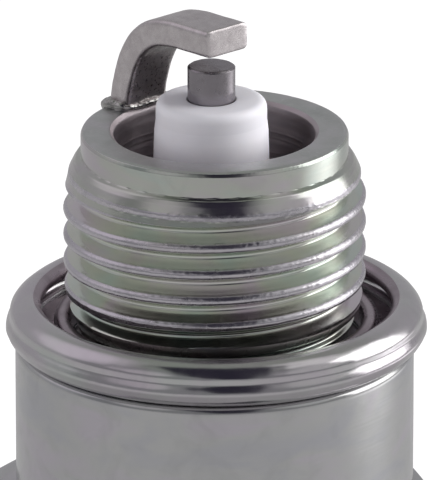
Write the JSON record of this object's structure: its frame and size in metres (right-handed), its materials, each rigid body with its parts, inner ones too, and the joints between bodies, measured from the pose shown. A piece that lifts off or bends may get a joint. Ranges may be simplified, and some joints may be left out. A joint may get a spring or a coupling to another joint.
{
  "type": "spark plug",
  "caption": "Short-reach spark plug with a helical thread, a loose crush gasket, a hexagon, a ribbed insulator and a removable terminal nut.",
  "frame": {"origin": "the plug axis at the sealing face of the crush gasket", "axes": "+Z along the plug axis towards the firing end, -Y towards the viewer, +X to the right with the strap foot at the back left"},
  "size_m": [0.0214, 0.0208, 0.0562],
  "materials": {
    "plated_steel": "satin zinc-nickel plating with turning marks",
    "gasket_steel": "bright zinc plating",
    "strap_nickel": "satin nickel alloy",
    "weld_metal": "rough weld metal",
    "alumina": "fine matt white alumina, glazed on the terminal end",
    "electrode_nickel": "satin nickel alloy",
    "core_copper": "drawn copper",
    "seal_glass": "dark conductive glass",
    "resistor_body": "matt carbon-filled ceramic",
    "stud_steel": "plated steel",
    "nut_plating": "bright nickel plating",
    "packing_steel": "plain steel",
    "talc": "pressed talc powder"
  },
  "bodies": {
    "plug": {"metal_shell": "plated_steel", "ground_electrode": "strap_nickel", "weld_flash": "weld_metal", "insulator": "alumina", "center_electrode": "electrode_nickel", "electrode_core": "core_copper", "front_glass_seal": "seal_glass", "resistor": "resistor_body", "rear_glass_seal": "seal_glass", "terminal_stud": "stud_steel", "inner_seat_packing": "packing_steel", "front_wire_ring": "packing_steel", "talc_fill": "talc", "rear_wire_ring": "packing_steel"},
    "gasket": {"crush_gasket": "gasket_steel"},
    "nut": {"terminal_nut": "nut_plating"}
  },
  "joints": [
    {"name": "gasket_float", "type": "slide", "parent": "plug", "child": "gasket", "axis": [0, 0, 1], "range_m": [0, 0.0006]},
    {"name": "terminal_nut_off", "type": "slide", "parent": "plug", "child": "nut", "axis": [0, 0, -1], "range_m": [0, 0.009]}
  ]
}
